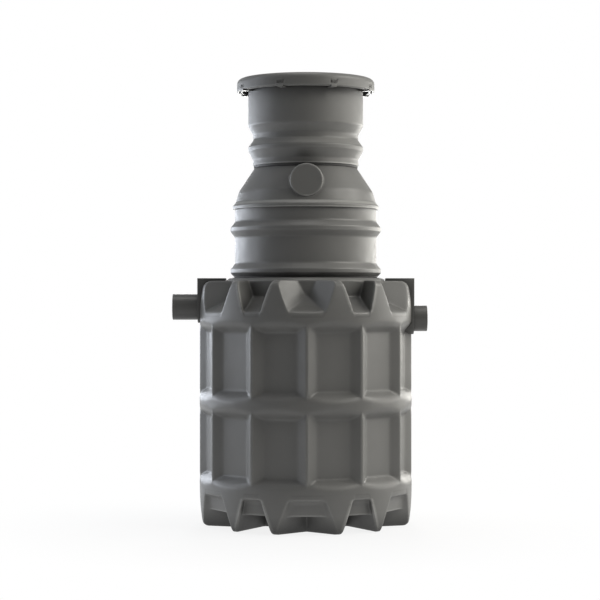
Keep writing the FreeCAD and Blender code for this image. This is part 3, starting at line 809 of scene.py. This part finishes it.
FEET = TankEnd(
    tip=FOOT_HEIGHT, lean=0.010, rounding=0.022, lip_rounding=0.011,
    gap_plan=math.radians(49), gap_draft=math.radians(19.5),
    gap_floor=FEET_FLOOR, slot_floor=FEET_FLOOR, slot_end=0.200, collar=False,
    rows=np.array([
        -25, -19, -14, -10.5, -8, -6, -4.5, -3.5, -2.5, -1.5, -0.5, 0.5, 1.5, 2.5, 3.7, 5, 7, 10,
        15, 22, 31, 40, 48, 54, 58, 60.5, 62, 63.2, 64.4, 65.2, 66.1, 67.2, 68.6, 70, 71.5, 73,
        74.4, 75.6, 76.6, 77.4, 78, 79.5, 83, 90, 100, 109]) / 1000,
    deck=np.array([0.04, 0.09, 0.15, 0.22, 0.3, 0.39, 0.49, 0.59, 0.69, 0.78, 0.86, 0.92, 0.965, 1.0]),
    rings=np.array([0.193, 0.175, 0.15, 0.12, 0.09, 0.06, 0.03]))

# Degrees from a rib's middle to a panel's, and millimetres across a panel's end
WALL_COLUMNS = (0, 0.35, 0.5, 0.6, 0.69, 0.78, 0.88, 1.05, 1.4, 1.9, 2.5, 3.1, 3.7, 4.3, 4.75,
                5.05, 5.2, 5.34, 5.48, 5.65, 6.0, 7.0, 9.0, 11.0, 13.0, 15.0)
PANEL_END_ROWS = (-12, -8, -5, -2.5, 0, 2.5, 5, 8, 12, 19, 27, 32.5, 35.5, 37.2, 38.6, 40.3, 43.5, 50)
FLANK_SLANT = math.tan(math.radians(60))


class SEPARATOR_OT_tank_wall(bpy.types.Operator):
    """Ribbed wall of the tank with its two rows of sunk panels"""
    bl_idname = "separator.tank_wall"
    bl_label = "Tank wall"

    def execute(self, context):
        sizes = context.scene.separator_tank
        points = full_wall(np.radians(WALL_COLUMNS), sizes)
        piece = add_object("tank_wall_finish", points.reshape(-1, 3), grid_faces(*points.shape[:2]),
                           ["tank_wall_%d" % number for number in range(1, 7)])
        thicken(piece, sizes.wall)
        cut(piece, pipe_cutters())
        dress(piece, "Moulded tank grey")
        return {"FINISHED"}


def full_wall(from_rib, sizes):
    """The wall as distance from the axis over height and azimuth.

    In a panel it is the greatest of the distances to the floor, to the rib's flank and to the two
    sloping ends, each a flat face met by a level ray. The belts and noses cap it at the radius,
    with the belts' wider rounding near a panel's end and the noses' narrow one away from it.
    The rows near a panel's end bend with its edge, which dips towards the ribs by the radius less
    the radius times the cosine of the azimuth from the panel's middle.
    """
    turn = RIB_STEP / 2 - from_rib[None, :]
    dip = sizes.radius * (1 - np.cos(turn))
    offset = np.array(PANEL_END_ROWS)[:, None] / 1000
    bend = np.interp(offset, [-0.016, 0, 0.038], [0, 1, 0]) * dip
    panels = ((FOOT_BELT_TOP, MIDDLE_BELT[0]), (MIDDLE_BELT[1], CROWN_BELT_BOTTOM))
    rows = [FOOT_SEAM + 0 * turn]
    for bottom, top in panels:
        rows += [bottom + offset + bend, np.array([[0.4], [0.6]]) * (top - bottom) + bottom + 0 * turn,
                 (top - offset - bend)[::-1]]
    rows.append(CROWN_SEAM + 0 * turn)
    level = np.concatenate(rows)

    nose = RIB_STEP / 2 - sizes.rib_nose / 2 / sizes.radius
    nose_out, nose_side = sizes.radius * math.cos(nose), sizes.radius * math.sin(nose)
    floor = (sizes.radius - sizes.panel_depth) / np.cos(turn)
    flank = (nose_out * FLANK_SLANT - nose_side) / (FLANK_SLANT * np.cos(turn) - np.sin(turn))
    sides = soft_max(floor, flank, sizes.corner_rounding)
    wall = sizes.radius + 0 * level
    for bottom, top in panels:
        ends = np.maximum(level - top, bottom - level)
        panel = soft_max(sides, (sizes.radius + ends) / np.cos(turn), sizes.corner_rounding)
        edge = np.interp(ends, [-0.040, -0.010], [sizes.edge_rounding, sizes.belt_rounding])
        wall = soft_min(wall, panel, edge)
    ribs = 2 * SECTOR_COUNT
    distance = np.concatenate([wall[:, :-1], wall[:, :0:-1]] * ribs, axis=1)
    height = np.concatenate([level[:, :-1], level[:, :0:-1]] * ribs, axis=1)
    azimuth = []
    for rib in range(ribs):
        azimuth += [RIB_STEP * rib + from_rib[:-1], RIB_STEP * (rib + 1) - from_rib[:0:-1]]
    return around_axis(distance, np.concatenate(azimuth)[None, :] + 0 * height, height)


class SEPARATOR_OT_tank_crown(bpy.types.Operator):
    """Top of the tank with its belt, teeth and collar"""
    bl_idname = "separator.tank_crown"
    bl_label = "Tank crown"

    def execute(self, context):
        sizes = context.scene.separator_tank
        ends = (CROWN, PAD_CROWN, CROWN, CROWN, PAD_CROWN, CROWN)
        points = full_ring([end_surface(end, sizes, crown_field(end, sizes)) for end in ends])
        points[:, :, 2] += CROWN_BELT_TOP
        piece = add_object("tank_crown_finish", points.reshape(-1, 3), grid_faces(*points.shape[:2]),
                           ["tank_crown"])
        thicken(piece, sizes.wall)
        cut(piece, pipe_cutters())
        dress(piece, "Moulded tank grey")
        return {"FINISHED"}


class SEPARATOR_OT_tank_base(bpy.types.Operator):
    """Bottom of the tank with its belt and feet"""
    bl_idname = "separator.tank_base"
    bl_label = "Tank base"

    def execute(self, context):
        sizes = context.scene.separator_tank

        def field(x, y, rise):
            return end_field(x, y, rise, FEET, sizes)

        points = full_ring([end_surface(FEET, sizes, field)] * SECTOR_COUNT)
        points[:, :, 2] = FOOT_HEIGHT - points[:, :, 2]
        rows, columns = points.shape[:2]
        vertices = np.concatenate([points.reshape(-1, 3), [[0, 0, 0]]])
        faces = [face[::-1] for face in grid_faces(rows, columns)]
        faces += fan_faces((rows - 1) * columns, columns, rows * columns, True)
        piece = add_object("tank_base_finish", vertices, faces, ["tank_base"])
        thicken(piece, sizes.wall)
        finish_modifiers(piece, SHARP_ANGLE)
        dress(piece, "Moulded tank grey")
        return {"FINISHED"}


class SEPARATOR_OT_lower_shaft(bpy.types.Operator):
    """Wide shaft pipe with a bead half way and one at its foot"""
    bl_idname = "separator.lower_shaft"
    bl_label = "Lower shaft"

    def execute(self, context):
        radius = context.scene.separator_shaft.shaft_radius
        crest = radius + 0.020

        def bead(height):
            return [(radius, height - 0.034, 0.014), (crest, height - 0.008, 0.008),
                    (crest, height + 0.008, 0.008), (radius, height + 0.034, 0.014)]

        outer = [(radius + 0.006, 1.057, 0.0015)] + bead(1.080)[1:] + bead(1.258) + [(radius, 1.366, 0.002)]
        outline = rounded(outer + inside_of(outer, 0.010))
        piece = turned_piece("lower_shaft_finish", outline, ["lower_shaft"])
        dress(piece, "Moulded tank grey")
        return {"FINISHED"}


def cone_outer(radius, riser):
    """Corners of the cone's outside, from its lip to its top."""
    return [(radius + 0.011, 1.344, 0.002), (radius + 0.011, 1.358, 0.004), (radius - 0.003, 1.375, 0.008),
            (radius - 0.015, 1.419, 0.040), (riser - 0.0275, 1.523, 0.003)]


class SEPARATOR_OT_cone(bpy.types.Operator):
    """Cone between the two shafts, with its round blind boss"""
    bl_idname = "separator.cone"
    bl_label = "Cone"

    def execute(self, context):
        sizes = context.scene.separator_shaft
        radius, riser = sizes.shaft_radius, sizes.riser_radius
        outer = cone_outer(radius, riser)
        spigot, bore, seat = riser - 0.0308, riser - 0.0398, radius + PLAY
        inner = [(spigot, 1.523, 0.001), (spigot, 1.603, 0.002), (bore, 1.603, 0.002),
                 (bore, 1.517, 0.005), (radius - 0.024, 1.414, 0.030), (radius - 0.013, 1.3662, 0.002),
                 (seat, 1.3662, 0.001), (seat, 1.344, 0.001)]
        cone = turned_piece("cone_reducer_finish", rounded(outer + inner), ["cone_reducer"])
        dress(cone, "Moulded tank grey")
        boss = self.boss(rounded(outer, 6), radius)
        dress(boss, "Moulded tank grey")
        return {"FINISHED"}

    def boss(self, cone_line, face):
        """The boss as a grid of rings about its own axis.

        The first rings cross the face, turn over the rounded rim by a quarter circle and run back
        to the cone. Where they meet it, each ring point takes the depth of the cone's surface less
        half its wall, 5 mm, and the last rings close the back at that depth.
        """
        columns = 96
        turn = np.linspace(0, 2 * math.pi, columns, endpoint=False)[None, :]
        quarter = np.linspace(0, math.pi / 2, 8)
        flat = BOSS_RADIUS - BOSS_ROUNDING
        front = np.array([0.012, 0.03, 0.05, flat - 0.002])
        size = np.concatenate([front, flat + BOSS_ROUNDING * np.sin(quarter), [BOSS_RADIUS] * 4,
                               [BOSS_RADIUS - 0.004, 0.045, 0.02]])[:, None]
        sunk = np.concatenate([0 * front, BOSS_ROUNDING * (1 - np.cos(quarter))])[:, None]
        x, z = size * np.sin(turn), BOSS_HEIGHT + size * np.cos(turn)
        order = np.argsort(cone_line[:, 1])
        reach = np.interp(z, cone_line[order, 1], cone_line[order, 0])
        depth = -np.sqrt(np.maximum(reach ** 2 - x ** 2, 0)) + 0.005
        y = depth.copy()
        rows = len(sunk)
        y[:rows] = -face + sunk
        shares = np.array([0.1, 0.35, 0.7])[:, None]
        y[rows:rows + 3] = y[rows - 1] + (depth[rows:rows + 3] - y[rows - 1]) * shares
        centres = [[0, -face, BOSS_HEIGHT], [0, depth[-1].mean(), BOSS_HEIGHT]]
        vertices = np.concatenate([np.stack([x, y, z], axis=-1).reshape(-1, 3), centres])
        count = len(size)
        faces = grid_faces(count, columns)
        faces += fan_faces(0, columns, count * columns, True)
        faces += fan_faces((count - 1) * columns, columns, count * columns + 1, False)
        return add_object("blind_boss_finish", vertices, faces, ["cone_reducer"])


def opening(azimuth, width, reach, bottom, top):
    """A cutter through skirt or flange, from one distance to another, rounded at its top corners."""
    half = width / 2
    corners = [(-half, bottom, 0.0), (half, bottom, 0.0), (half, top, 0.004), (-half, top, 0.004)]
    outline = rounded(corners, 4)
    turn = azimuth + outline[None, :, 0] / reach[1]
    distance = np.array(reach)[:, None]
    points = around_axis(distance, turn, outline[None, :, 1] + 0 * distance)
    count = len(outline)
    faces = grid_faces(2, count)
    faces += [list(range(count))[::-1], list(range(count, 2 * count))]
    return loose_mesh("Opening", points.reshape(-1, 3), [face[::-1] for face in faces])


def windows(reach):
    """Cutters for the window above every clip."""
    return [opening(azimuth, WINDOW_WIDTH, reach, WINDOW_FOOT, WINDOW_TOP) for azimuth in CLIP_AZIMUTHS]


class SEPARATOR_OT_riser(bpy.types.Operator):
    """Narrow riser with its bead, grooves and flange"""
    bl_idname = "separator.riser"
    bl_label = "Upper riser"

    def execute(self, context):
        radius = context.scene.separator_shaft.riser_radius
        groove, flange = radius - 0.0215, radius + 0.0345
        inner, under = flange - TRIM_WALL, FLANGE_TOP - TRIM_WALL
        wall = [(groove + 0.002, 1.532, 0.001), (groove, 1.557, 0.012), (radius, 1.596, 0.008),
                (radius, 1.612, 0.008), (groove, 1.642, 0.014), (groove, 1.664, 0.014),
                (radius, 1.702, 0.014)]
        rim = [(radius, under, 0.004), (inner, under, 0.004), (inner, FLANGE_FOOT, 0.002),
               (flange, FLANGE_FOOT, 0.003), (flange, FLANGE_TOP, 0.006),
               (radius - TRIM_WALL, FLANGE_TOP, 0.003)]
        outline = rounded(wall + rim + inside_of(wall, TRIM_WALL))
        piece = turned_piece("upper_riser_finish", outline, ["upper_riser"])
        cut(piece, windows((flange - 0.014, flange + 0.010)))
        dress(piece, "Moulded tank grey")
        return {"FINISHED"}


class SEPARATOR_OT_lid(bpy.types.Operator):
    """Flat lid with rounded edge, and a skirt with windows and notches for the clips"""
    bl_idname = "separator.lid"
    bl_label = "Lid"

    def execute(self, context):
        sizes = context.scene.separator_shaft
        radius = sizes.lid_radius
        inner = radius - TRIM_WALL
        corners = [(0.006, LID_UNDERSIDE, 0.0), (inner, LID_UNDERSIDE, 0.013), (inner, SKIRT_FOOT, 0.002),
                   (radius, SKIRT_FOOT, 0.005), (radius, LID_TOP, 0.022), (0.222, LID_TOP, 0.002),
                   (0.219, LID_STEP, 0.002), (0.207, LID_STEP, 0.002), (0.204, LID_TOP, 0.002),
                   (0.006, LID_TOP, 0.0)]
        outline = rounded(corners, 6)
        count, columns = len(outline), 256
        vertices = np.concatenate([turned(outline, columns), [[0, 0, LID_UNDERSIDE], [0, 0, LID_TOP]]])
        faces = grid_faces(count, columns)
        faces += fan_faces(0, columns, count * columns, True)
        faces += fan_faces((count - 1) * columns, columns, count * columns + 1, False)
        piece = add_object("lid_finish", vertices, faces, ["lid"])
        reach = (radius - 0.020, radius + 0.010)
        notch = sizes.clip_width + 2 * PLAY
        notches = [opening(azimuth, notch, reach, NOTCH_FOOT, NOTCH_TOP) for azimuth in CLIP_AZIMUTHS]
        cut(piece, windows(reach) + notches)
        dress(piece, "Moulded lid grey")
        return {"FINISHED"}


class SEPARATOR_OT_lid_clips(bpy.types.Operator):
    """Hooks that hold the lid's skirt to the riser's flange"""
    bl_idname = "separator.lid_clips"
    bl_label = "Lid clips"

    def execute(self, context):
        sizes = context.scene.separator_shaft
        riser = sizes.riser_radius
        outer = sizes.lid_radius + CLIP_PROUD
        inner, hook, tip = outer - TRIM_WALL, riser + 0.0252, riser + 0.005
        low, under, up = FLANGE_FOOT - 0.0045, FLANGE_FOOT - PLAY, FLANGE_FOOT + 0.006
        section = rounded([(inner, WINDOW_FOOT, 0.002), (inner, under, 0.003), (hook, under, 0.001),
                           (hook, up, 0.002), (tip, up, 0.003), (tip, low, 0.002), (outer, low, 0.005),
                           (outer, WINDOW_FOOT, 0.003)])
        sweep = sizes.clip_width / sizes.lid_radius
        count, columns = len(section), 9
        for number, azimuth in enumerate(CLIP_AZIMUTHS):
            turn = azimuth + np.linspace(-0.5, 0.5, columns)[:, None] * sweep
            points = around_axis(section[None, :, 0], turn, section[None, :, 1] + 0 * turn)
            faces = [face[::-1] for face in grid_faces(columns, count)]
            faces += [list(range(count)), list(range((columns - 1) * count, columns * count))[::-1]]
            name = "lid_clip_%d" % (number + 1)
            piece = add_object(name + "_finish", points.reshape(-1, 3), faces, [name])
            soften(piece, 0.0012, 2, 60)
            finish_modifiers(piece)
            dress(piece, "Clip grey")
        return {"FINISHED"}


class SEPARATOR_OT_pipes(bpy.types.Operator):
    """Inlet and outlet pipe ends with open bores"""
    bl_idname = "separator.pipes"
    bl_label = "Pipes"

    def execute(self, context):
        turn = np.linspace(0, 2 * math.pi, 96, endpoint=False)[None, :]
        for name, side, height, end in (("inlet_pipe", -1, INLET_HEIGHT, INLET_END),
                                        ("outlet_pipe", 1, OUTLET_HEIGHT, OUTLET_END)):
            outline = rounded([(PIPE_BORE, PIPE_START, 0.0005), (NECKED_RADIUS, PIPE_START, 0.0005),
                               (NECKED_RADIUS, NECK_END, 0.0004), (PIPE_RADIUS, NECK_END, 0.0004),
                               (PIPE_RADIUS, end, 0.0015), (PIPE_BORE, end, 0.0015)], 4)
            distance, reach = outline[:, :1], outline[:, 1:]
            points = np.stack([side * reach + 0 * turn, side * distance * np.cos(turn),
                               height + distance * np.sin(turn)], axis=-1)
            faces = grid_faces(len(outline), 96, round_rows=True)
            piece = add_object(name + "_finish", points.reshape(-1, 3), faces, [name])
            dress(piece, "Dark pipe")
        return {"FINISHED"}


class SEPARATOR_OT_pads(bpy.types.Operator):
    """Flat-faced pads round the pipes, with softened edges"""
    bl_idname = "separator.pads"
    bl_label = "Pads"

    def execute(self, context):
        for name in ("inlet_pad", "outlet_pad"):
            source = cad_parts[name]
            piece = bpy.data.objects.new(name + "_finish", source.data.copy())
            piece.data.transform(source.matrix_world)
            context.scene.collection.objects.link(piece)
            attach(piece, BODY)
            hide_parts(name)
            weld = piece.modifiers.new("Join", "WELD")
            weld.merge_threshold = 0.00001
            soften(piece, 0.0025, 3, 40)
            finish_modifiers(piece)
            piece.data.polygons.foreach_set("use_smooth", np.ones(len(piece.data.polygons), dtype=bool))
            piece.data.set_sharp_from_angle(angle=math.radians(30))
            dress(piece, "Dark pad")
        return {"FINISHED"}


class SEPARATOR_OT_seals(bpy.types.Operator):
    """Rubber rings between tank, shafts and lid"""
    bl_idname = "separator.seals"
    bl_label = "Seals"

    def execute(self, context):
        for name in ("shaft_seal", "riser_seal", "lid_gasket"):
            dress(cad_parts[name], "Rubber seal")
        return {"FINISHED"}


class SEPARATOR_OT_stage(bpy.types.Operator):
    """Floor, room light, lamps and camera"""
    bl_idname = "separator.stage"
    bl_label = "Stage"

    def execute(self, context):
        scene = context.scene
        scene.view_settings.view_transform = "Standard"
        self.floor(scene)
        self.room(scene)
        for lamp in LAMPS:
            self.lamp(scene, lamp)
        camera = bpy.data.cameras.new("Camera")
        camera.lens = CAMERA_LENS
        camera.sensor_width = 36.0
        camera.shift_x = CAMERA_SHIFT
        eye = bpy.data.objects.new("Camera", camera)
        eye.location = around_axis(CAMERA_DISTANCE, CAMERA_AZIMUTH, CAMERA_HEIGHT)
        eye.rotation_euler = (math.radians(90), 0, CAMERA_AZIMUTH)
        scene.collection.objects.link(eye)
        scene.camera = eye
        return {"FINISHED"}

    def lamp(self, scene, lamp):
        """A soft square lamp on a sphere round the middle of the separator, facing it."""
        azimuth, height = math.radians(lamp.azimuth), math.radians(lamp.height)
        data = bpy.data.lights.new(lamp.name, "AREA")
        data.shape = "RECTANGLE"
        data.size = data.size_y = lamp.size
        data.energy = lamp.watts * getattr(scene.separator_studio, lamp.side)
        data.color = lamp.colour
        placed = bpy.data.objects.new(lamp.name, data)
        out, up = lamp.distance * math.cos(height), lamp.distance * math.sin(height)
        placed.location = around_axis(out, azimuth, LAMP_AIM + up)
        placed.rotation_euler = (math.pi / 2 - height, 0, azimuth)
        scene.collection.objects.link(placed)

    def seen_white(self, tree, mirrored):
        """One for rays from the camera and through glass, and the mirrored share for reflected rays."""
        path = tree.nodes.new("ShaderNodeLightPath")
        value = math_node(tree, "MULTIPLY", path.outputs["Is Glossy Ray"], mirrored)
        for kind in ("Is Camera Ray", "Is Transmission Ray"):
            value = math_node(tree, "MAXIMUM", path.outputs[kind], value)
        return value

    def mixed(self, tree, share, first, second, output):
        """Send a mix of two shaders to the output."""
        mixed = tree.nodes.new("ShaderNodeMixShader")
        tree.links.new(share, mixed.inputs["Fac"])
        tree.links.new(first, mixed.inputs[1])
        tree.links.new(second, mixed.inputs[2])
        tree.links.new(mixed.outputs["Shader"], tree.nodes[output].inputs["Surface"])

    def floor(self, scene):
        """A wide round floor, nearly white under the tank and white further out.

        It keeps a share of its own grey and shadow near the tank, and there it also throws
        light back at the feet.
        """
        studio = scene.separator_studio
        turn = np.linspace(0, 2 * math.pi, 64, endpoint=False)
        ring = around_axis(FLOOR_RADIUS, turn, -FLOOR_DROP + 0 * turn)
        mesh = bpy.data.meshes.new("Floor")
        mesh.from_pydata(ring.tolist(), [], [list(range(64))])
        ground = bpy.data.objects.new("Floor", mesh)
        scene.collection.objects.link(ground)
        pale = bpy.data.materials.new("Pale floor")
        pale.use_nodes = True
        tree = pale.node_tree
        shader = tree.nodes["Principled BSDF"]
        shader.inputs["Base Color"].default_value = (0.8, 0.8, 0.8, 1)
        shader.inputs["Roughness"].default_value = 0.8
        place = tree.nodes.new("ShaderNodeTexCoord")
        length = tree.nodes.new("ShaderNodeVectorMath")
        length.operation = "LENGTH"
        tree.links.new(place.outputs["Object"], length.inputs[0])
        distance = length.outputs["Value"]
        fade = ranged(tree, distance, *FLOOR_WHITENS, 1 - FLOOR_OWN, 1.0, "SMOOTHSTEP")
        share = math_node(tree, "MULTIPLY", fade, self.seen_white(tree, studio.mirrored_floor))
        near = ranged(tree, distance, *FLOOR_THROWS, studio.floor_light, 0.0, "SMOOTHSTEP")
        path = tree.nodes.new("ShaderNodeLightPath")
        bounce = math_node(tree, "MULTIPLY", near, path.outputs["Is Diffuse Ray"])
        white = tree.nodes.new("ShaderNodeEmission")
        self.mixed(tree, math_node(tree, "MAXIMUM", share, bounce), shader.outputs["BSDF"],
                   white.outputs["Emission"], "Material Output")
        mesh.materials.append(pale)

    def room(self, scene):
        """Even light from all sides, seen as white."""
        studio = scene.separator_studio
        world = bpy.data.worlds.new("Room")
        world.use_nodes = True
        tree = world.node_tree
        grey = tree.nodes["Background"]
        grey.inputs["Color"].default_value = (1, 1, 1, 1)
        grey.inputs["Strength"].default_value = studio.room_light
        white = tree.nodes.new("ShaderNodeBackground")
        white.inputs["Color"].default_value = (1, 1, 1, 1)
        self.mixed(tree, self.seen_white(tree, studio.mirrored_room), grey.outputs["Background"],
                   white.outputs["Background"], "World Output")
        scene.world = world


OPERATORS = (
    SEPARATOR_OT_tank_wall, SEPARATOR_OT_tank_crown, SEPARATOR_OT_tank_base, SEPARATOR_OT_lower_shaft,
    SEPARATOR_OT_cone, SEPARATOR_OT_riser, SEPARATOR_OT_lid, SEPARATOR_OT_lid_clips, SEPARATOR_OT_pipes,
    SEPARATOR_OT_pads, SEPARATOR_OT_seals, SEPARATOR_OT_stage,
)


class SEPARATOR_PT_panel(bpy.types.Panel):
    """The separator's pieces, in building order"""
    bl_label = "Oil separator"
    bl_space_type = "VIEW_3D"
    bl_region_type = "UI"
    bl_category = "Separator"

    def draw(self, context):
        for operator in OPERATORS:
            self.layout.operator(operator.bl_idname)
        for group in ("separator_tank", "separator_shaft", "separator_finish", "separator_studio"):
            settings = getattr(context.scene, group)
            for name in settings.__annotations__:
                self.layout.prop(settings, name)


GROUPS = (TankSizes, ShaftSizes, Finish, Studio)
CLASSES = GROUPS + OPERATORS + (SEPARATOR_PT_panel,)


def register():
    """Make the add-on's classes and settings known."""
    for cls in CLASSES:
        bpy.utils.register_class(cls)
    bpy.types.Scene.separator_tank = PointerProperty(type=TankSizes)
    bpy.types.Scene.separator_shaft = PointerProperty(type=ShaftSizes)
    bpy.types.Scene.separator_finish = PointerProperty(type=Finish)
    bpy.types.Scene.separator_studio = PointerProperty(type=Studio)


def unregister():
    """Forget the add-on's settings and classes."""
    for name in ("separator_tank", "separator_shaft", "separator_finish", "separator_studio"):
        delattr(bpy.types.Scene, name)
    for cls in reversed(CLASSES):
        bpy.utils.unregister_class(cls)


def main():
    """Make every piece and the stage."""
    register()
    bpy.ops.separator.tank_wall()
    bpy.ops.separator.tank_crown()
    bpy.ops.separator.tank_base()
    bpy.ops.separator.lower_shaft()
    bpy.ops.separator.cone()
    bpy.ops.separator.riser()
    bpy.ops.separator.lid()
    bpy.ops.separator.lid_clips()
    bpy.ops.separator.pipes()
    bpy.ops.separator.pads()
    bpy.ops.separator.seals()
    bpy.ops.separator.stage()


if __name__ == "__main__":
    main()
